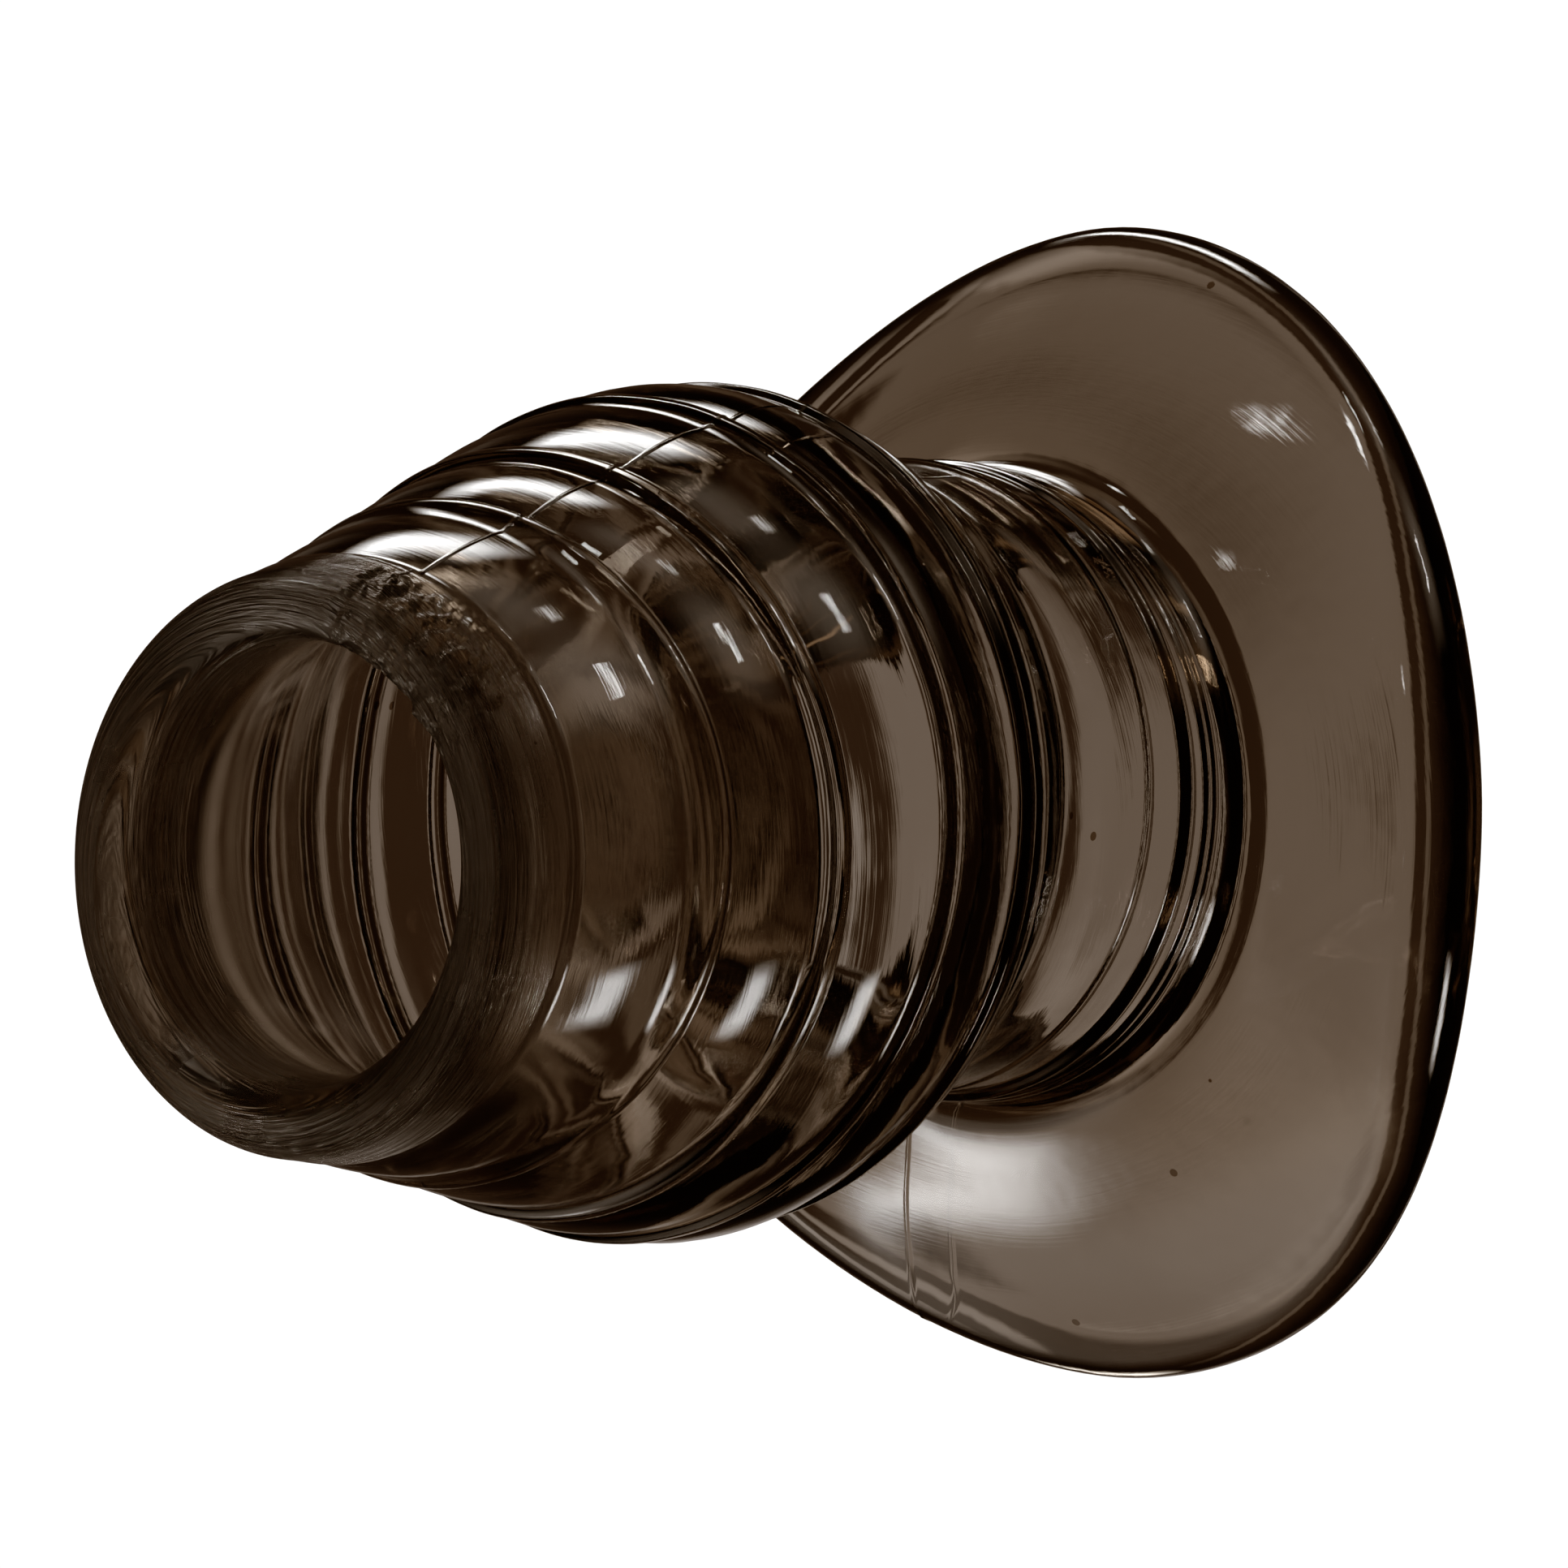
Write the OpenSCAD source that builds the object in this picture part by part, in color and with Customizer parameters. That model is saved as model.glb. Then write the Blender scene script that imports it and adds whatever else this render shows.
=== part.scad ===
// One-piece hollow plug, moulded in a soft smoke-tinted elastomer.
// A tapered ribbed bulb on a narrow neck, a wide oval flange that arches down to its two ends,
// and a tunnel that runs through the whole length. +Z is up the tunnel, from the flange to the
// mouth. The long way of the flange is Y. The origin is under the tunnel, level with the lowest
// points of the flange.

/* [Mouth] */
// Outer diameter of the mouth, across the rounded lip
mouth_d = 40; // [38:0.5:42]
// Diameter of the tunnel just inside the mouth
bore_d = 30; // [28:0.5:31]
// Length of the straight tunnel wall behind the lip
bore_l = 6; // [4:0.5:7]

/* [Bulb] */
// Overall height, from the flange ends to the tip of the lip
total_h = 94; // [92:0.5:98]
// Widest diameter of the bulb
bulb_d = 61.5; // [60:0.5:64]
// Diameter of the round bead that forms each rib
rib_d = 2; // [1.2:0.1:2.6]

/* [Neck] */
// Outer diameter of the neck
neck_d = 47; // [46:0.5:48]
// Diameter of the tunnel in the neck
neck_bore_d = 37; // [36:0.5:38]
// Length of the straight part of the neck
neck_l = 8; // [6:0.5:9]

/* [Flange] */
// Length of the flange along Y
flange_l = 89; // [87:0.5:92]
// Width of the flange along X
flange_w = 83.5; // [80:0.5:87]
// Thickness of the flange at its full-round edge
flange_t = 7; // [6:0.25:7.5]
// How much lower the flange's two ends hang than its two sides
flange_arch = 13; // [10:0.5:14]

/* [Hidden] */
$fn = 96;

// Half the wall at the mouth, which is the radius of the lip
lip_r = (mouth_d - bore_d) / 4;
lip_z = total_h - lip_r;
lip_mid = (mouth_d + bore_d) / 4;
// Heights of the widest ring of the bulb and of the neck's straight part
bulb_z = 56;
neck_top = 38;
neck_low = neck_top - neck_l;
// Depths of the ribs below the lip's centre
rib_depths = [17, 26, 34, 42];
// Fine ring round the lower end of the neck: height and diameter of its bead
neck_ring_z = 24.9;
neck_ring_d = 1.6;
// Foot of the neck on the flange's top, and heel of the tunnel on its underside: height, and
// radius of the turn. Both heights follow a share of the rim's rise and fall, and the foot's turn
// is wider towards the two ends of the flange.
foot_z = 18.9;
foot_turn = 3;
foot_turn_ends = 2.2;
heel_z = 12.1;
heel_turn = 1.2;
foot_follow = 0.12;
// How far the flange's skin runs up inside the neck's wall, how far it stays below the surface
// there, and how far it stands out where it comes through
root_l = 3;
root_gap = 0.6;
root_step = 0.1;
// Pieces of each curved stretch, of the flange around the tunnel, of its edge and of each turn
steps = 5;
flange_steps = 4;
flange_sides = 60;
edge_steps = 6;
corner_steps = 4;

// Outline points [radius, height] of the bulb's outer wall, from the lip to the neck
bulb_outer = [
    [mouth_d / 2, lip_z],
    [21, lip_z - 4],
    [22.1, lip_z - 9],
    [23.8, lip_z - 14],
    [26, lip_z - 19],
    [28.2, lip_z - 24],
    [30, lip_z - 30],
    [bulb_d / 2, bulb_z],
    [29.4, lip_z - 42],
    [26.4, lip_z - 48],
    [neck_d / 2, neck_top]
];
// Outline points of its inner wall, from the straight part of the mouth to the neck
bulb_inner = [
    [bore_d / 2, lip_z - bore_l],
    [16.4, lip_z - 10],
    [18.8, lip_z - 15.5],
    [21.8, lip_z - 21],
    [24.4, lip_z - 27],
    [25.9, bulb_z],
    [24.7, lip_z - 42],
    [21.6, lip_z - 49],
    [neck_bore_d / 2, neck_top - 1]
];

// A point of the smooth curve through p, at fraction t of the stretch that starts at point i
function curve_point(p, i, t) =
    let (
        a = p[max(i - 1, 0)],
        b = p[i],
        c = p[i + 1],
        d = p[min(i + 2, len(p) - 1)]
    )
    0.5 * (2 * b + (c - a) * t + (2 * a - 5 * b + 4 * c - d) * t * t
        + (3 * b - a - 3 * c + d) * t * t * t);

// The smooth curve through every point of p, in n pieces for each stretch
function curve(p, n) = [
    for (i = [0:len(p) - 2]) for (k = [0:n - 1]) curve_point(p, i, k / n),
    p[len(p) - 1]
];

function reversed(p) = [for (i = [len(p) - 1:-1:0]) p[i]];

// Radius of the outline p, which runs downwards, at height z
function radius_at(p, z) =
    let (i = [for (k = [0:len(p) - 2]) if (p[k][1] >= z && p[k + 1][1] <= z) k][0])
    p[i][0] + (p[i + 1][0] - p[i][0]) * (p[i][1] - z) / (p[i][1] - p[i + 1][1]);

// Centre of the flange's round edge at angle a round the tunnel
function rim(a) =
    let (
        edge = flange_t / 2,
        half_l = flange_l / 2 - edge,
        half_w = flange_w / 2 - edge
    )
    [1 / sqrt(pow(cos(a) / half_w, 2) + pow(sin(a) / half_l, 2)), edge + flange_arch * pow(cos(a), 2)];

// Turn from straight down at radius r into the direction way. The turn has its own radius and
// would be level at height z.
function corner(r, turn, z, way) =
    let (stop = 90 - atan2(-way[1], way[0]))
    [
        for (k = [0:corner_steps])
            let (t = stop * k / corner_steps)
            [r + turn * (1 - cos(t)), z + turn * (1 - sin(t))]
    ];

// One face of the flange, which leaves the neck's surface at radius r: inside the wall, down the
// neck, round its turn and out past mid to the point end of the rim's edge. Inward is 1 where the
// wall lies outside r and -1 where it lies inside.
function flange_face(r, inward, turn, z, mid, end) =
    let (
        skin = r - inward * root_step,
        bend = corner(skin, turn, z, [mid[0] - r - turn, 0.9 * (mid[1] - z)])
    )
    concat(
        [[r + inward * root_gap, neck_low + root_l], [r + inward * root_gap, neck_low + 0.8]],
        [[skin, neck_low - 0.2]],
        [for (k = [0:corner_steps - 1]) bend[k]],
        curve([bend[corner_steps], mid, end], flange_steps)
    );

// Closed cross-section of the flange at angle a: down its top, round the edge, up its underside
function flange_section(a) =
    let (
        edge = flange_t / 2,
        tip = rim(a),
        drop = foot_follow * (tip[1] - foot_z),
        turn = foot_turn + foot_turn_ends * pow(sin(a), 2),
        foot = [neck_d / 2 + turn, foot_z + drop],
        heel = [neck_bore_d / 2 + heel_turn, heel_z + drop],
        top_mid = foot + [0.5 * (tip[0] - foot[0]), 0.38 * (tip[1] + edge - foot[1])],
        under_mid = heel + [0.5 * (tip[0] - heel[0]), 0.4 * (tip[1] - edge - heel[1])],
        way = tip + [0, edge] - top_mid,
        out = [way[0], way[1] * 1.25] / norm([way[0], way[1] * 1.25]),
        up = [-out[1], out[0]]
    )
    concat(
        flange_face(neck_d / 2, -1, turn, foot[1], top_mid, tip + edge * up),
        [for (k = [1:edge_steps - 1])
            let (b = 180 * k / edge_steps)
            tip + edge * (cos(b) * up + sin(b) * out)],
        reversed(flange_face(neck_bore_d / 2, 1, heel_turn, heel[1], under_mid, tip - edge * up))
    );

// Skin round the tunnel through the cross-sections, as one closed surface
module flange() {
    loops = [for (k = [0:flange_sides - 1]) flange_section(360 * k / flange_sides)];
    n = len(loops[0]);
    points = [
        for (k = [0:flange_sides - 1])
            let (a = 360 * k / flange_sides)
            for (p = loops[k]) [p[0] * cos(a), p[0] * sin(a), p[1]]
    ];
    faces = [
        for (k = [0:flange_sides - 1]) for (i = [0:n - 1])
            let (
                a = k * n + i,
                b = k * n + (i + 1) % n,
                c = (k + 1) % flange_sides * n + i,
                d = (k + 1) % flange_sides * n + (i + 1) % n
            )
            each [[a, d, b], [a, c, d]]
    ];
    polyhedron(points, faces);
}

// Cross-section of the wall on one side of the tunnel, from the lip to the foot of the neck
module bulb_section() {
    polygon(concat(
        curve(bulb_outer, steps),
        [[neck_d / 2, neck_low], [neck_bore_d / 2, neck_low]],
        reversed(curve(bulb_inner, steps)),
        [[bore_d / 2, lip_z]]
    ));
    translate([lip_mid, lip_z]) circle(r = lip_r, $fn = 48);
}

// One round bead around the bulb
module rib(depth) {
    z = lip_z - depth;
    rotate_extrude()
        translate([radius_at(curve(bulb_outer, steps), z) - rib_d / 4, z])
            circle(d = rib_d, $fn = 24);
}

// The ring round the neck stands out by about a quarter of its bead
module neck_ring() {
    rotate_extrude()
        translate([neck_d / 2 + root_step - neck_ring_d / 4, neck_ring_z])
            circle(d = neck_ring_d, $fn = 24);
}

module hollow_plug() {
    color([0.30, 0.24, 0.21, 0.75]) {
        rotate_extrude() bulb_section();
        for (depth = rib_depths) rib(depth);
        neck_ring();
        flange();
    }
}

hollow_plug();
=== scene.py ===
import math

import bpy
import numpy as np
from mathutils import Matrix, Vector, noise

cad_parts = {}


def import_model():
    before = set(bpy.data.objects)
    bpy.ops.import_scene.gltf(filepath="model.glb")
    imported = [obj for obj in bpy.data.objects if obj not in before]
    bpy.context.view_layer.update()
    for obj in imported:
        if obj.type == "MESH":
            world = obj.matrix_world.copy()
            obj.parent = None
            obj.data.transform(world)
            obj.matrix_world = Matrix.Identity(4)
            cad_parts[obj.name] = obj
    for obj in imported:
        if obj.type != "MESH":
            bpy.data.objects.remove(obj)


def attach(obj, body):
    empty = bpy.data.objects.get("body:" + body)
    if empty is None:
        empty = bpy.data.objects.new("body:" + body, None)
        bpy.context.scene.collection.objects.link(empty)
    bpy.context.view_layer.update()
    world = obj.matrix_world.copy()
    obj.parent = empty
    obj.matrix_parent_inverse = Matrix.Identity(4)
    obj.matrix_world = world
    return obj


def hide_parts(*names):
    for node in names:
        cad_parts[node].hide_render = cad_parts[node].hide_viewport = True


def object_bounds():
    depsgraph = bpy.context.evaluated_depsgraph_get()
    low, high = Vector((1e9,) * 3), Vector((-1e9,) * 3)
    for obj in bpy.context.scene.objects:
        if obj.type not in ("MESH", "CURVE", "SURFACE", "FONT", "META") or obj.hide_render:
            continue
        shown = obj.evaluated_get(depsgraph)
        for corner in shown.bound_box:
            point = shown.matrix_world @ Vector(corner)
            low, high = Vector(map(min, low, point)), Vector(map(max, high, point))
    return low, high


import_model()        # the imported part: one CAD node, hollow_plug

CAD_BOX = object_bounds()
MM = 0.001

# ---------------------------------------------------------------------------------------------
# Dimensions in millimetres. The part stands on its flange, with +Z up the tunnel to the mouth.
# A depth is measured down from the centre of the lip. An angle runs from +X towards +Y.
# ---------------------------------------------------------------------------------------------
TOTAL_H = CAD_BOX[1].z / MM
FLANGE_L = (CAD_BOX[1].y - CAD_BOX[0].y) / MM
FLANGE_W = (CAD_BOX[1].x - CAD_BOX[0].x) / MM

# Radius of the lip's round edge, and of the circle that its centre runs along
LIP_R, LIP_MID = 2.5, 17.5
LIP_Z = TOTAL_H - LIP_R
# Neck: diameters outside and in the tunnel, heights where its straight part starts and ends, and the
# depth of its end
NECK_D, NECK_BORE_D = 47.0, 37.0
NECK_TOP, NECK_LOW = 38.0, 30.0
NECK_DEPTH = LIP_Z - NECK_LOW
# Half the flange's thickness
EDGE_R = 3.55
# Foot of the neck on the flange's top, and heel of the tunnel on its underside: radius of the turn
# and height. The foot's turn is wider towards the flange's two ends, and both heights follow a share
# of the rim's rise and fall.
FOOT_TURN, FOOT_TURN_ENDS, FOOT_Z = 3.0, 2.2, 18.9
HEEL_TURN, HEEL_Z = 1.2, 12.1
FOOT_FOLLOW = 0.12
# Middle point of the flange's top and underside, as shares of the way out and up to the rim
TOP_MID, UNDER_MID = (0.5, 0.38), (0.5, 0.40)
# Steepness of the turn's end and of the rim's edge, each against the straight line beside it
TURN_STEEP, EDGE_STEEP = 0.9, 1.25

# Outline points [depth, radius] of the outer and the inner wall, from the lip to the neck
OUTER = [(0, 20), (4, 21), (9, 22.5), (14, 24.2), (19, 26), (24, 27.9), (30, 29.8), (35.5, 30.4),
         (42, 29.4), (48, 26.2), (LIP_Z - NECK_TOP, NECK_D / 2), (NECK_DEPTH, NECK_D / 2)]
INNER = [(0, 15), (6, 15), (10, 16.4), (15.5, 18.8), (21, 21.8), (27, 24.4), (35.5, 25.9),
         (42, 24.7), (49, 21.6), (LIP_Z - NECK_TOP + 1, NECK_BORE_D / 2),
         (NECK_DEPTH, NECK_BORE_D / 2)]

# Ribs: mean depth, how much deeper they lie at the two sides (+X and -X), and towards +Y
RIBS = [(13.4, 1.6, 0.5), (22.3, 1.2, -0.3), (31.2, 1.5, 1.2), (40.5, 1.0, 0.8)]
BEAD_W, BEAD_H = 1.5, 0.8
# Length at the low end of the neck that doesn't follow the ribs as they wander
STEADY_END = 6.0
# Crown of the bands between the ribs, and the depths where the first one starts and the last one ends
BAND_CROWN, BAND_TOP, BAND_END = 0.7, 3.0, 49.0

# Rings round the foot of the neck: height, half width and how far each one stands out
NECK_RINGS = [(29.3, 0.5, 0.16), (24.9, 1.0, 0.55), (22.6, 0.45, 0.28), (21.7, 0.45, 0.25)]

# Mould seam: angle, half width and height, and the heights where its shorter side starts and is full
SEAM_ANGLE, SEAM_W, SEAM_H = 69.0, 0.20, 0.10
SEAM_STARTS, SEAM_FULL = 30.0, 40.0
# Its dots: how many there are in a millimetre, their mean height and the spread of their heights
DOT_PACE, DOT_MEAN, DOT_SPREAD = 1.7, 0.65, 0.6
# Torn gate beside the seam: angle, half spread and height, and its radius with the distances from
# that radius at which it starts to fade and is gone
SCAR_ANGLE, SCAR_SPREAD, SCAR_H = 53.0, 29.0, 0.6
SCAR_R, SCAR_FADES, SCAR_GONE = 18.2, 2.4, 3.4
# Slow waves in the outer and the inner skin: height, and how many there are in a millimetre. Only a
# share of the height on the part counts, so they are longer that way.
OUTER_WAVE, OUTER_PACE = 0.05, 0.22
INNER_WAVE, INNER_PACE = 0.22, 0.13
WAVE_SHARE = 0.6

# Upward sag of the centre line: (depth, offset along +Y)
SAG = [(0, 0.1), (10, 0.6), (20, 1.05), (30, 1.5), (40, 2.6), (50, 3.6), (62, 3.6), (72, 2.2),
       (82, 0.7), (92, 0.5)]
# Tilt of the lip, as fractions of x and y, which fades out at a depth
LIP_TILT_X, LIP_TILT_Y, LIP_TILT_DEPTH = 0.062, 0.037, 20.0
# The flange's rim as the soft part lies: how pointed its oval is, how far it arches, and how it is
# twisted
RIM_POWER = 1.86
RIM_ARCH, RIM_COS, RIM_SIN, RIM_SIN_2, RIM_SIN_3 = 14.3, -2.8, -1.7, 1.9, -1.0

# Mesh: pieces for each stretch of an outline and of the sag, and points round the lip, the rim and
# each turn of the flange
CURVE_PIECES, SAG_PIECES = 12, 10
LIP_POINTS, RIM_POINTS, TURN_POINTS = 30, 18, 9
# Flange's top and underside: even steps to the rim, and the length and spacing of the fine steps
# before them
TOP_STEPS = (20, 13.0, 0.2)
UNDER_STEPS = (14, 18.5, 0.4)
# Degrees between columns: as a rule, along the torn gate, and nearer to a seam than a distance, as
# (distance, step)
COLUMN_STEP, SCAR_STEP = 1.8, 0.65
SEAM_STEPS = [(1.0, 0.2), (2.5, 0.6)]


def catmull(points, pieces):
    """Smooth curve through the points, with that many pieces for each stretch."""
    p = np.asarray(points, float)
    p = np.concatenate([2 * p[:1] - p[1:2], p, 2 * p[-1:] - p[-2:-1]])
    t = np.arange(pieces)[:, None] / pieces
    out = []
    for i in range(1, len(p) - 2):
        a, b, c, d = p[i - 1], p[i], p[i + 1], p[i + 2]
        out.append(0.5 * (2 * b + (c - a) * t + (2 * a - 5 * b + 4 * c - d) * t ** 2
                          + (3 * b - a - 3 * c + d) * t ** 3))
    return np.concatenate(out + [p[-2:-1]])


def along(line, count, fine_length, fine_step):
    """The polyline resampled: fine steps over its first stretch, then even steps to its end."""
    step = np.r_[0, np.cumsum(np.hypot(*np.diff(line, axis=0).T))]
    want = np.r_[np.arange(0, fine_length, fine_step), np.linspace(fine_length, step[-1], count + 1)]
    return np.stack([np.interp(want, step, line[:, k]) for k in (0, 1)], axis=1)


def half_turn(count):
    """That many angles spread inside half a turn, as a column."""
    return np.linspace(0, math.pi, count + 2)[1:-1, None]


def hat(x):
    """A smooth bump: 1 at 0, and 0 from 1 outwards."""
    return np.clip(1 - np.square(x), 0, 1) ** 2


def fade(x, low, high):
    """1 up to low, then smoothly down to 0 at high."""
    t = np.clip((high - x) / (high - low), 0, 1)
    return t * t * (3 - 2 * t)


def rib_shift(angle):
    """How far each rib lies from its mean depth at an angle."""
    return [wave * math.cos(2 * angle) + tilt * math.sin(angle) for _, wave, tilt in RIBS]


def stations(fine, coarse, rib_zone, lip_zone):
    """Depths from the lip to the neck: fine spacing by the lip and near each rib, coarse elsewhere."""
    marks = [0.0]
    while marks[-1] < NECK_DEPTH - fine:
        near = min(abs(marks[-1] - rib[0]) for rib in RIBS)
        close = near < rib_zone or marks[-1] < lip_zone
        marks.append(marks[-1] + (fine if close else coarse))
    marks[-1] = NECK_DEPTH
    return np.array(marks)


OUTER_S = stations(fine=0.22, coarse=1.1, rib_zone=1.5, lip_zone=3.0)
INNER_S = stations(fine=0.35, coarse=1.3, rib_zone=0.0, lip_zone=5.0)
OUTER_LINE = catmull(OUTER, CURVE_PIECES)
INNER_LINE = catmull(INNER, CURVE_PIECES)


def shifted(depths, angle):
    """Depths that follow the ribs as they wander at an angle."""
    knots = [depths[0]] + [rib[0] for rib in RIBS] + [depths[-1] - STEADY_END, depths[-1]]
    moves = [0.0] + rib_shift(angle) + [0.0, 0.0]
    return depths + np.interp(depths, knots, moves)


def relief(depths):
    """Height of the beads and of the slight crown of the bands between them, at unshifted depths."""
    means = [rib[0] for rib in RIBS]
    height = np.zeros_like(depths)
    for mean in means:
        x = np.clip(np.abs(depths - mean) / (BEAD_W / 2), 0, 1)
        height += BEAD_H * np.sqrt(1 - x ** 2) * (1 - x ** 6)
    edges = [BAND_TOP] + means + [BAND_END]
    for low, high in zip(edges[:-1], edges[1:]):
        t = np.clip((depths - low) / (high - low), 0, 1)
        height += BAND_CROWN * (4 * t * (1 - t) - 1) * (t > 0) * (t < 1)
    return height


def outer_wall(angle):
    """Points [radius, height] of the outer wall from the lip to the neck."""
    depths = shifted(OUTER_S, angle)
    radius = np.interp(depths, OUTER_LINE[:, 0], OUTER_LINE[:, 1])
    slope = np.gradient(radius, depths)
    lift = relief(OUTER_S)
    grow = 1 / np.sqrt(1 + slope ** 2)
    return np.stack([radius + lift * grow, LIP_Z - depths + lift * slope * grow], axis=1)


def inner_wall(angle):
    """Points [radius, height] of the tunnel's wall from the lip to the neck."""
    depths = shifted(INNER_S, angle)
    radius = np.interp(depths, INNER_LINE[:, 0], INNER_LINE[:, 1])
    return np.stack([radius, LIP_Z - depths], axis=1)


def rim_point(angle):
    """Centre [radius, height] of the round edge of the flange at an angle."""
    wide = abs(math.cos(angle) / (FLANGE_W / 2 - EDGE_R)) ** RIM_POWER
    long = abs(math.sin(angle) / (FLANGE_L / 2 - EDGE_R)) ** RIM_POWER
    height = (EDGE_R + RIM_ARCH * math.cos(angle) ** 2 + RIM_COS * math.cos(angle)
              + RIM_SIN * math.sin(angle) + RIM_SIN_2 * math.sin(2 * angle)
              + RIM_SIN_3 * math.sin(3 * angle))
    return np.array([(wide + long) ** (-1 / RIM_POWER), height])


def corner(radius, turn_r, height, way):
    """Turn from straight down at a radius into the direction way, with the turn's own radius."""
    stop = math.pi / 2 - math.atan2(-way[1], way[0])
    t = np.linspace(0, stop, TURN_POINTS)
    return np.stack([radius + turn_r * (1 - np.cos(t)), height + turn_r * (1 - np.sin(t))], axis=1)


def flange_face(radius, turn_r, start, mid, end):
    """One face of the flange: down the neck at a radius, round its turn, and past mid to the rim."""
    turn = corner(radius, turn_r, start[1], (mid - start) * (1, TURN_STEEP))
    return np.concatenate([[(radius, NECK_LOW)], turn[:-1], catmull([turn[-1], mid, end], CURVE_PIECES)])


def flange_sides(angle):
    """Top of the flange, its round edge, and its underside. Both faces run from the neck to the rim."""
    rim = rim_point(angle)
    drop = FOOT_FOLLOW * (rim[1] - FOOT_Z)
    turn_r = FOOT_TURN + FOOT_TURN_ENDS * math.sin(angle) ** 2
    foot = np.array([NECK_D / 2 + turn_r, FOOT_Z + drop])
    heel = np.array([NECK_BORE_D / 2 + HEEL_TURN, HEEL_Z + drop])
    top_mid = foot + (rim + (0, EDGE_R) - foot) * TOP_MID
    under_mid = heel + (rim - (0, EDGE_R) - heel) * UNDER_MID
    way = (rim + (0, EDGE_R) - top_mid) * (1, EDGE_STEEP)
    way /= np.hypot(*way)
    normal = np.array([-way[1], way[0]])
    top = flange_face(NECK_D / 2, turn_r, foot, top_mid, rim + EDGE_R * normal)
    under = flange_face(NECK_BORE_D / 2, HEEL_TURN, heel, under_mid, rim - EDGE_R * normal)
    turn = half_turn(RIM_POINTS)
    edge = rim + EDGE_R * np.cos(turn) * normal + EDGE_R * np.sin(turn) * way
    return along(top, *TOP_STEPS), edge, along(under, *UNDER_STEPS)


def section(angle):
    """Closed cross-section of the wall at an angle, starting at the top of the lip's outer side."""
    top, edge, under = flange_sides(angle)
    turn = half_turn(LIP_POINTS)
    lip = (LIP_MID, LIP_Z) + LIP_R * np.concatenate([-np.cos(turn), np.sin(turn)], axis=1)
    return np.concatenate([outer_wall(angle), top[1:], edge, under[:0:-1], inner_wall(angle)[::-1], lip])


# Where the stretches of a cross-section start and end, in points
SIZE = len(section(0.0))
NECK_START = len(OUTER_S) - 3
NECK_END = len(OUTER_S) + len(flange_sides(0.0)[0]) - 1 - TOP_STEPS[0]
LIP_START = SIZE - LIP_POINTS
INNER_START = LIP_START - len(INNER_S)


def on_skin(point, angle, share=1.0):
    """Place of a point [radius, height] of the cross-section at an angle, with a share of its height."""
    return Vector((point[0] * math.cos(angle), point[0] * math.sin(angle), point[1] * share))


def rings(loop):
    """The rings round the foot of the neck."""
    lift = np.zeros(len(loop))
    neck = slice(NECK_START, NECK_END)
    for height, half, stand in NECK_RINGS:
        lift[neck] += stand * hat((loop[neck, 1] - height) / half)
    return lift


def seam(loop, angle):
    """The fine dotted ridge of the mould seam, on the outside. On one side it ends above the flange."""
    turn = (math.degrees(angle) - SEAM_ANGLE + 90) % 180 - 90
    ridge = hat(np.radians(turn) * loop[:, 0] / SEAM_W)
    ridge[INNER_START:] = 0
    if math.cos(angle - math.radians(SEAM_ANGLE)) > 0:
        ridge *= fade(-loop[:, 1], -SEAM_FULL, -SEAM_STARTS)
    if ridge.max() == 0:
        return ridge
    dots = [noise.noise(Vector((r * DOT_PACE, z * DOT_PACE, turn * 0.05))) for r, z in loop]
    return SEAM_H * ridge * (DOT_MEAN + DOT_SPREAD * np.array(dots))


def scar(loop, angle):
    """The torn gate: lumps and tears along a stretch of the lip and a little way down both sides."""
    lift = np.zeros(len(loop))
    off = (math.degrees(angle) - SCAR_ANGLE) / SCAR_SPREAD
    reach = fade(abs(off), 0.55, 1.0)
    if reach == 0:
        return lift
    mask = reach * fade(LIP_Z - loop[:, 1], 0.5, 2.5 + 2.5 * fade(abs(off + 0.3), 0.1, 0.7))
    mask *= fade(np.abs(loop[:, 0] - SCAR_R), SCAR_FADES, SCAR_GONE)
    for k in np.flatnonzero(mask > 0):
        spot = on_skin(loop[k], angle)
        lumps = 0.8 * noise.noise(spot * 0.75) + 0.6 * abs(noise.noise(spot * 1.5))
        lift[k] = SCAR_H * mask[k] * (lumps + 0.25 * noise.noise(spot * 3.1))
    return lift


def waves(loop, angle):
    """The slow unevenness of the moulded skin, kept away from the lip and the flange's edge."""
    lift = np.zeros(len(loop))
    outer = (0, len(OUTER_S), OUTER_WAVE, OUTER_PACE)
    inner = (INNER_START, LIP_START, INNER_WAVE, INNER_PACE)
    for first, last, stand, pace in (outer, inner):
        for k in range(first, last):
            z = loop[k, 1]
            ease = fade(z, LIP_Z - 9, LIP_Z - 1) * fade(NECK_LOW + 8 - z, 0, 7)
            lift[k] = stand * ease * noise.noise(on_skin(loop[k], angle, WAVE_SHARE) * pace)
    return lift


def detailed(loop, angle):
    """The cross-section with its rings, seam, torn gate and unevenness, each along the normal."""
    run = np.roll(loop, -1, axis=0) - np.roll(loop, 1, axis=0)
    normal = np.stack([-run[:, 1], run[:, 0]], axis=1) / np.hypot(*run.T)[:, None]
    lift = rings(loop) + seam(loop, angle) + scar(loop, angle) + waves(loop, angle)
    return loop + lift[:, None] * normal


def column_step(angle):
    """Degrees from the mesh's column at an angle to the next one."""
    off = min(abs(angle - middle) for middle in (SEAM_ANGLE, SEAM_ANGLE + 180))
    for distance, step in SEAM_STEPS:
        if off < distance:
            return step
    return SCAR_STEP if abs(angle - SCAR_ANGLE) < SCAR_SPREAD + 1 else COLUMN_STEP


def columns():
    """Angles of the mesh's columns, closer together at the two seams and along the torn gate."""
    marks = [0.0]
    while marks[-1] < 360:
        marks.append(marks[-1] + column_step(marks[-1]))
    marks.pop()
    return np.radians(marks)


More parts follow.
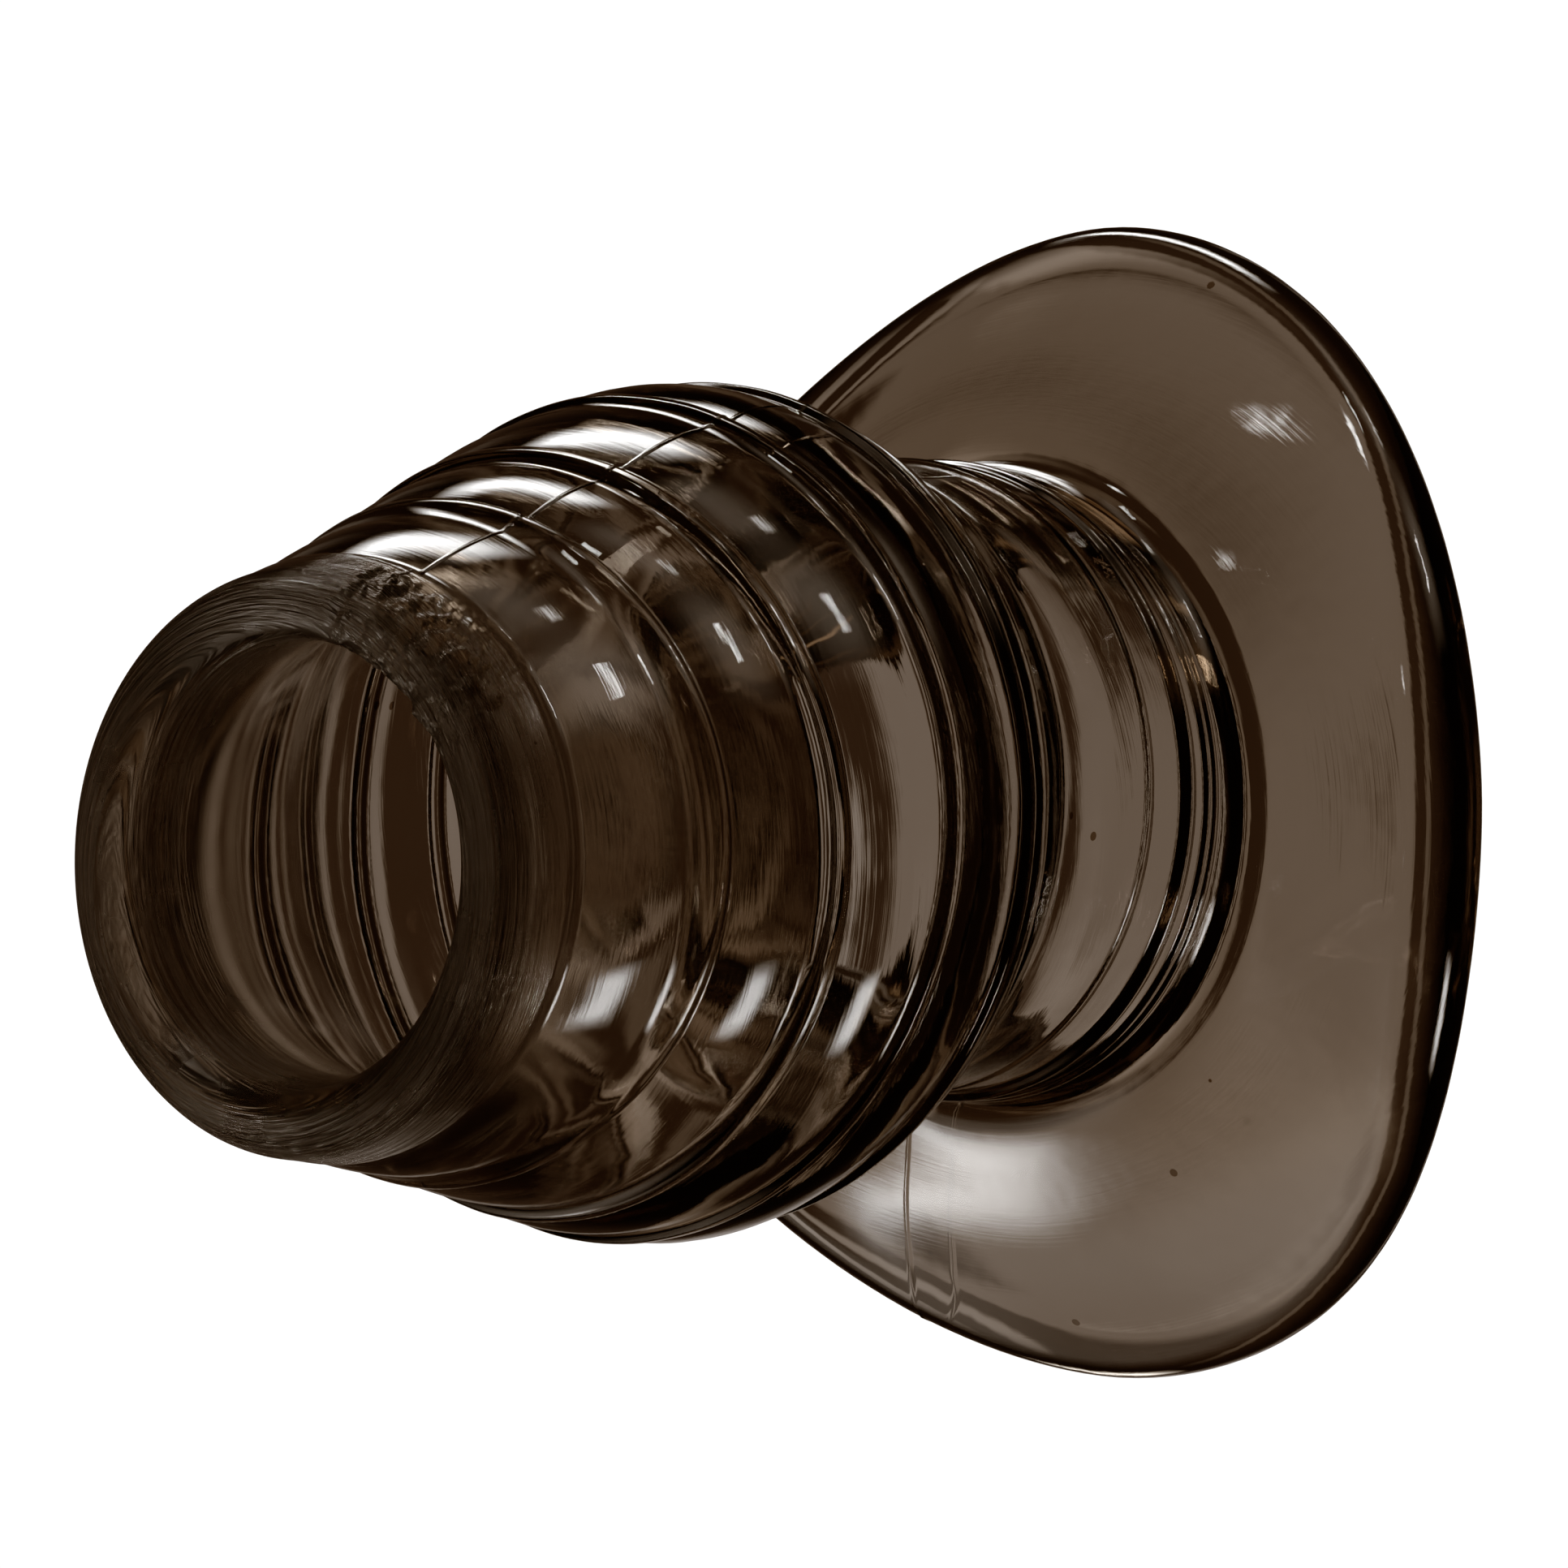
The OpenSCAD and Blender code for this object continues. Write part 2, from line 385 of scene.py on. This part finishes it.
def bend(points):
    """The slight sag of the soft wall, and the tilt of the lip."""
    depth = LIP_Z - points[:, 2]
    sag = catmull(SAG, SAG_PIECES)
    points[:, 1] += np.interp(depth, sag[:, 0], sag[:, 1])
    share = fade(depth, 0, LIP_TILT_DEPTH)
    points[:, 2] -= (LIP_TILT_X * points[:, 0] + LIP_TILT_Y * points[:, 1]) * share
    return points


def plug_mesh():
    """The whole skin as one closed mesh: a cross-section at every column, joined by quads."""
    angles = columns()
    loops = [detailed(section(a), a) for a in angles]
    points = np.concatenate([
        np.stack([loop[:, 0] * math.cos(a), loop[:, 0] * math.sin(a), loop[:, 1]], axis=1)
        for a, loop in zip(angles, loops)])
    points = bend(points) * MM
    k = np.arange(len(angles))[:, None]
    i = np.arange(SIZE)[None, :]
    j = (i + 1) % SIZE
    here, there = k * SIZE, (k + 1) % len(angles) * SIZE
    quads = np.stack([here + i, here + j, there + j, there + i], axis=2).reshape(-1, 4)
    mesh = bpy.data.meshes.new("plug_body")
    mesh.from_pydata(points.tolist(), [], quads.tolist())
    mesh.shade_smooth()
    mesh.validate()
    return mesh


class Graph:
    """Short forms for building a node tree. Where a value goes in, it is a socket or a constant."""

    def __init__(self, tree):
        tree.nodes.clear()
        self.tree = tree

    def node(self, kind, **settings):
        made = self.tree.nodes.new(kind)
        for name, value in settings.items():
            setattr(made, name, value)
        return made

    def feed(self, socket, value):
        """Link a socket to another one, or set it to a constant."""
        if isinstance(value, bpy.types.NodeSocket):
            self.tree.links.new(value, socket)
        else:
            socket.default_value = value

    def put(self, made, **inputs):
        """Fill a node's inputs by name."""
        for name, value in inputs.items():
            self.feed(made.inputs[name.replace("_", " ")], value)
        return made

    def fill(self, made, *values):
        """Fill a node's inputs in order."""
        for socket, value in zip(made.inputs, values):
            self.feed(socket, value)
        return made

    def math(self, operation, *values):
        return self.fill(self.node("ShaderNodeMath", operation=operation), *values).outputs[0]

    def vector(self, x, y, z):
        return self.put(self.node("ShaderNodeCombineXYZ"), X=x, Y=y, Z=z).outputs[0]

    def dot(self, first, second):
        made = self.node("ShaderNodeVectorMath", operation="DOT_PRODUCT")
        return self.fill(made, first, second).outputs["Value"]

    def blend(self, share, tint, base):
        """The vector share times tint, plus base."""
        made = self.node("ShaderNodeVectorMath", operation="MULTIPLY_ADD")
        return self.fill(made, share, tint, base).outputs["Vector"]

    def mix(self, share, first, second):
        """A colour between two."""
        made = self.node("ShaderNodeMix", data_type="RGBA")
        for index, value in ((0, share), (6, first), (7, second)):
            self.feed(made.inputs[index], value)
        return made.outputs[2]

    def noise(self, where, scale):
        made = self.put(self.node("ShaderNodeTexNoise"), Vector=where, Scale=scale, Detail=3.0,
                        Roughness=0.6)
        return made.outputs["Fac"]

    def smooth(self, value, start, stop, first=0.0, last=1.0):
        """First up to start, last from stop onwards, and smooth between them."""
        made = self.put(self.node("ShaderNodeMapRange", interpolation_type="SMOOTHSTEP"), Value=value,
                        From_Min=start, From_Max=stop, To_Min=first, To_Max=last)
        return made.outputs["Result"]


# Zones of the skin in metres: heights between which the lip's, the nose's and the tunnel's zones
# fade in, and radii between which the tunnel's zone fades out
LIP_ZONE, NOSE_ZONE, TUNNEL_ZONE = (0.0865, 0.0915), (0.070, 0.082), (0.077, 0.086)
TUNNEL_R = (0.0185, 0.0205)
# Roughness of the gloss, and what each zone adds to it at its most
GLOSS, NOSE_ROUGH, LIP_ROUGH, TUNNEL_ROUGH = 0.02, 0.02, 0.10, 0.45
# Bumps in metres: streaks away from the lip, what the lip adds to them, and slow patches
STREAK_BUMP, LIP_BUMP, PATCH_BUMP = 0.000006, 0.0005, 0.00006
# How many streaks along the axis and how many flow patches there are in a metre
STREAK_PACE, PATCH_PACE = 3000.0, 90.0
# Specks: cells in a metre, share of the cells that have none, and radius as a share of a cell's width
SPECK_PACE, SPECK_NONE, SPECK_R = 210.0, 0.84, 0.075
# Colours of the clear skin, its patches, the streaks round the lip and the specks
CLEAR, HAZE = (1.0, 1.0, 1.0, 1), (0.93, 0.90, 0.87, 1)
STREAK, SPECK = (0.22, 0.16, 0.11, 1), (0.08, 0.05, 0.03, 1)


def skin(g):
    """Where the skin is, in metres: place, height, radius, and a vector stretched round the axis."""
    where = g.node("ShaderNodeTexCoord").outputs["Object"]
    x, y, z = g.put(g.node("ShaderNodeSeparateXYZ"), Vector=where).outputs
    radius = g.math("SQRT", g.math("ADD", g.math("MULTIPLY", x, x), g.math("MULTIPLY", y, y)))
    off = g.math("MULTIPLY", g.math("SUBTRACT", z, radius), STREAK_PACE)
    ring = g.vector(g.math("DIVIDE", x, radius), g.math("DIVIDE", y, radius), off)
    return where, z, radius, ring


def specks(g, where):
    """1 inside a few small dark specks and 0 elsewhere."""
    cells = g.put(g.node("ShaderNodeTexVoronoi"), Vector=where, Scale=SPECK_PACE).outputs
    draw = g.put(g.node("ShaderNodeSeparateColor"), Color=cells["Color"]).outputs[0]
    chosen = g.math("GREATER_THAN", draw, SPECK_NONE)
    return g.math("MULTIPLY", chosen, g.math("LESS_THAN", cells["Distance"], SPECK_R))


def smoke_elastomer():
    """Clear, smoke-tinted and glossy, with drawn streaks round the lip, flow marks and a few specks."""
    mat = bpy.data.materials.new("smoke_elastomer")
    mat.use_nodes = True
    g = Graph(mat.node_tree)
    where, height, radius, ring = skin(g)
    lip = g.smooth(height, *LIP_ZONE)
    nose = g.smooth(height, *NOSE_ZONE)
    inside = g.math("SUBTRACT", 1.0, g.smooth(radius, *TUNNEL_R))
    tunnel = g.math("MULTIPLY", g.smooth(height, *TUNNEL_ZONE), inside)
    streaks = g.noise(ring, 1.0)
    patches = g.noise(where, PATCH_PACE)

    rough = g.math("MULTIPLY_ADD", g.math("MULTIPLY", nose, patches), NOSE_ROUGH, GLOSS)
    rough = g.math("MULTIPLY_ADD", g.math("MULTIPLY", lip, streaks), LIP_ROUGH, rough)
    rough = g.math("MULTIPLY_ADD", g.math("MULTIPLY", tunnel, patches), TUNNEL_ROUGH, rough)

    fine = g.put(g.node("ShaderNodeBump"), Height=streaks, Strength=1.0,
                 Distance=g.math("MULTIPLY_ADD", lip, LIP_BUMP, STREAK_BUMP))
    slow = g.put(g.node("ShaderNodeBump"), Height=patches, Strength=1.0, Distance=PATCH_BUMP,
                 Normal=fine.outputs["Normal"])

    drawn = g.math("MULTIPLY", lip, g.smooth(streaks, 0.42, 0.62))
    color = g.mix(specks(g, where), g.mix(drawn, g.mix(patches, CLEAR, HAZE), STREAK), SPECK)

    shader = g.put(g.node("ShaderNodeBsdfPrincipled"), Base_Color=color, Roughness=rough,
                   Normal=slow.outputs["Normal"])
    shader.inputs["IOR"].default_value = 1.49
    shader.inputs["Transmission Weight"].default_value = 1.0
    tint = g.node("ShaderNodeVolumeAbsorption")
    tint.inputs["Color"].default_value = (0.58, 0.52, 0.45, 1)
    tint.inputs["Density"].default_value = 200.0
    g.put(g.node("ShaderNodeOutputMaterial"), Surface=shader.outputs["BSDF"],
          Volume=tint.outputs["Volume"])
    return mat


# The camera's turn and tilt in degrees, where the lip's centre is from it (mm to the right, down and
# ahead), its sensor and lens in mm, and its clipping in metres
VIEW_TURN, VIEW_TILT = 41.5, 2.2
LIP_SEEN = (-32.4, 5.4, 436.0)
SENSOR_W, LENS = 36.0, 149.07
CLIP = (0.01, 20)


def camera():
    """The view looks at the mouth from one side, with the part's +Y up: turned, then tilted a little."""
    turn, tilt = math.radians(VIEW_TURN), math.radians(VIEW_TILT)
    # The part's -Z, +Y and +X, each as its parts along the view's right, down and ahead
    axis = Vector((math.sin(turn) * math.cos(tilt), -math.sin(tilt), math.cos(turn) * math.cos(tilt)))
    up = Vector((0, -1, 0)) + axis * axis.y
    up.normalize()
    side = axis.cross(up)
    # The view's right, down and ahead in the part's frame
    right, down, ahead = (Vector((side[k], up[k], -axis[k])) for k in range(3))
    place = Vector((0, 0, LIP_Z)) - (right * LIP_SEEN[0] + down * LIP_SEEN[1] + ahead * LIP_SEEN[2])
    data = bpy.data.cameras.new("view")
    data.sensor_width = SENSOR_W
    data.lens = LENS
    data.clip_start, data.clip_end = CLIP
    obj = bpy.data.objects.new("view", data)
    basis = Matrix((right, -down, -ahead)).transposed()
    obj.matrix_world = Matrix.Translation(place * MM) @ basis.to_4x4()
    bpy.context.scene.collection.objects.link(obj)
    bpy.context.scene.camera = obj


# Brightness of the white that the camera sees, and the floor's half length and height in metres
WHITE = 1.06
FLOOR_HALF, FLOOR_Z = 3.0, -0.002


def floor():
    """A plain white floor just below the part. Only the camera sees it."""
    mesh = bpy.data.meshes.new("floor")
    corners = [(x * FLOOR_HALF, y * FLOOR_HALF, FLOOR_Z)
               for x, y in ((-1, -1), (1, -1), (1, 1), (-1, 1))]
    mesh.from_pydata(corners, [], [(0, 1, 2, 3)])
    obj = bpy.data.objects.new("floor", mesh)
    mat = bpy.data.materials.new("floor_white")
    mat.use_nodes = True
    g = Graph(mat.node_tree)
    glow = g.put(g.node("ShaderNodeEmission"), Color=(1, 1, 1, 1), Strength=WHITE)
    g.put(g.node("ShaderNodeOutputMaterial"), Surface=glow.outputs["Emission"])
    mesh.materials.append(mat)
    bpy.context.scene.collection.objects.link(obj)
    obj.visible_glossy = False
    obj.visible_transmission = False
    obj.visible_diffuse = False


# Colour of the dark room
ROOM = (0.0045, 0.0028, 0.0018)
# Soft panels of light that are seen through the part: middle direction, half width round the part's
# axis and half height along it, softness of those two edges (all as sines of angles), and colour times
# brightness
BACKDROP = [
    ((-0.622, -0.18, -0.782), 0.24, 0.10, 0.08, 0.02, (0.18, 0.17, 0.165)),
    ((-0.610, -0.38, -0.770), 0.20, 0.10, 0.14, 0.02, (0.24, 0.23, 0.225)),
    ((-0.661, -0.10, -0.722), 0.50, 0.34, 0.22, 0.22, (0.022, 0.016, 0.013)),
    ((-0.490, -0.03, -0.872), 0.45, 0.020, 0.15, 0.012, (0.26, 0.25, 0.245)),
    ((-0.356, -0.03, -0.934), 0.45, 0.035, 0.15, 0.012, (0.26, 0.25, 0.245)),
    ((-0.832, -0.03, -0.553), 0.45, 0.030, 0.15, 0.015, (0.10, 0.094, 0.09)),
]
# Panels that light the skin, and the share of their brightness that they keep when they are seen
# through the part
PANELS = [
    ((-0.64, -0.57, 0.52), 0.13, 0.07, 0.12, 0.12, (12.0, 11.9, 11.8)),
    ((-0.50, -0.76, 0.36), 0.35, 0.22, 0.20, 0.20, (0.8, 0.78, 0.76)),
    ((0.68, -0.69, -0.18), 0.14, 0.08, 0.06, 0.06, (12.0, 11.9, 11.8)),
    ((0.62, 0.77, -0.12), 0.20, 0.18, 0.16, 0.16, (1.0, 0.96, 0.92)),
    ((-0.46, 0.80, -0.34), 0.22, 0.08, 0.08, 0.07, (11.0, 10.9, 10.8)),
    ((0.12, 0.98, -0.08), 0.20, 0.10, 0.12, 0.12, (0.7, 0.68, 0.66)),
    ((0.24, 0.96, -0.16), 0.05, 0.02, 0.02, 0.015, (8.0, 7.9, 7.8)),
    ((-0.32, 0.32, 0.88), 0.02, 0.03, 0.02, 0.02, (14.0, 13.9, 13.8)),
    ((-0.18, 0.86, 0.475), 0.025, 0.05, 0.015, 0.02, (18.0, 17.9, 17.8)),
    ((-0.76, -0.28, 0.58), 0.38, 0.16, 0.14, 0.14, (1.1, 0.98, 0.88)),
]
SEEN_THROUGH = 0.3
# Away from its middle a panel fades out: cosine of the angle where it is gone, and where it is full
FACING_NONE, FACING_FULL = 0.2, 0.4


def panel(g, where, direction, half_w, half_h, soft_w, soft_h):
    """1 inside a rectangular patch of the sky, falling smoothly to 0 round it."""
    middle = Vector(direction).normalized()
    side = Vector((0, 0, 1)).cross(middle).normalized()
    rise = middle.cross(side)
    parts = []
    for axis, half, edge in ((side, half_w, soft_w), (rise, half_h, soft_h)):
        off = g.math("ABSOLUTE", g.dot(where, axis))
        parts.append(g.smooth(off, half - edge, half + edge, 1.0, 0.0))
    facing = g.smooth(g.dot(where, middle), FACING_NONE, FACING_FULL)
    return g.math("MULTIPLY", g.math("MULTIPLY", *parts), facing)


def sky(g, where, panels, base):
    """The sum of some panels on a base colour."""
    color = base
    for *place, tint in panels:
        color = g.blend(panel(g, where, *place), tint, color)
    return color


def world():
    """White for the camera. The part sees a dark room with soft panels of light in it."""
    studio = bpy.data.worlds.new("studio")
    studio.use_nodes = True
    bpy.context.scene.world = studio
    g = Graph(studio.node_tree)
    path = g.node("ShaderNodeLightPath").outputs
    where = g.node("ShaderNodeTexCoord").outputs["Generated"]
    share = g.math("MULTIPLY_ADD", path["Is Transmission Ray"], SEEN_THROUGH - 1.0, 1.0)
    color = g.blend(sky(g, where, PANELS, (0.0, 0.0, 0.0)), share, sky(g, where, BACKDROP, ROOM))
    room = g.put(g.node("ShaderNodeBackground"), Color=color)
    white = g.put(g.node("ShaderNodeBackground"), Color=(1, 1, 1, 1), Strength=WHITE)
    seen = g.fill(g.node("ShaderNodeMixShader"), path["Is Camera Ray"], room.outputs[0],
                  white.outputs[0])
    g.put(g.node("ShaderNodeOutputWorld"), Surface=seen.outputs[0])


# Lamps in metres: name, direction, width and height, and how bright the face is. Both look at one
# point from the same distance.
LAMPS = [("key", (0.66, 0.77, -0.12), 0.20, 0.04, 16), ("top", (0.04, 0.98, 0.17), 0.10, 0.06, 12)]
LAMP_AIM, LAMP_DISTANCE = (0, 0, 0.05), 1.0


def soft_box(name, direction, width, height, glow):
    """A rectangular light that looks at the part from a direction."""
    data = bpy.data.lights.new(name, "AREA")
    data.shape = "RECTANGLE"
    data.size, data.size_y = width, height
    data.energy = glow * math.pi * width * height
    obj = bpy.data.objects.new(name, data)
    way = Vector(direction).normalized()
    obj.location = Vector(LAMP_AIM) + way * LAMP_DISTANCE
    obj.rotation_mode = "QUATERNION"
    obj.rotation_quaternion = way.to_track_quat("Z", "Y")
    bpy.context.scene.collection.objects.link(obj)
    obj.visible_camera = False


# Warm grade of the view: how red, green and blue map dark tones, as (value in, value out)
GRADE = [
    [(0.010, 0.0155), (0.04, 0.053), (0.10, 0.118), (0.30, 0.315)],
    [(0.010, 0.0098), (0.04, 0.040), (0.10, 0.099), (0.30, 0.298)],
    [(0.010, 0.0055), (0.04, 0.029), (0.10, 0.084), (0.30, 0.285)],
]


def grade():
    """Shadows lean to brown and highlights stay neutral."""
    view = bpy.context.scene.view_settings
    view.view_transform = "Standard"
    view.use_curve_mapping = True
    for curve, points in zip(view.curve_mapping.curves, GRADE):
        for place in points:
            curve.points.new(*place)
    view.curve_mapping.update()


camera()
floor()
world()
for lamp in LAMPS:
    soft_box(*lamp)

body = bpy.data.objects.new("plug_body", plug_mesh())
body.data.materials.append(smoke_elastomer())
bpy.context.scene.collection.objects.link(body)
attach(body, "root")
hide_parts("hollow_plug")

grade()
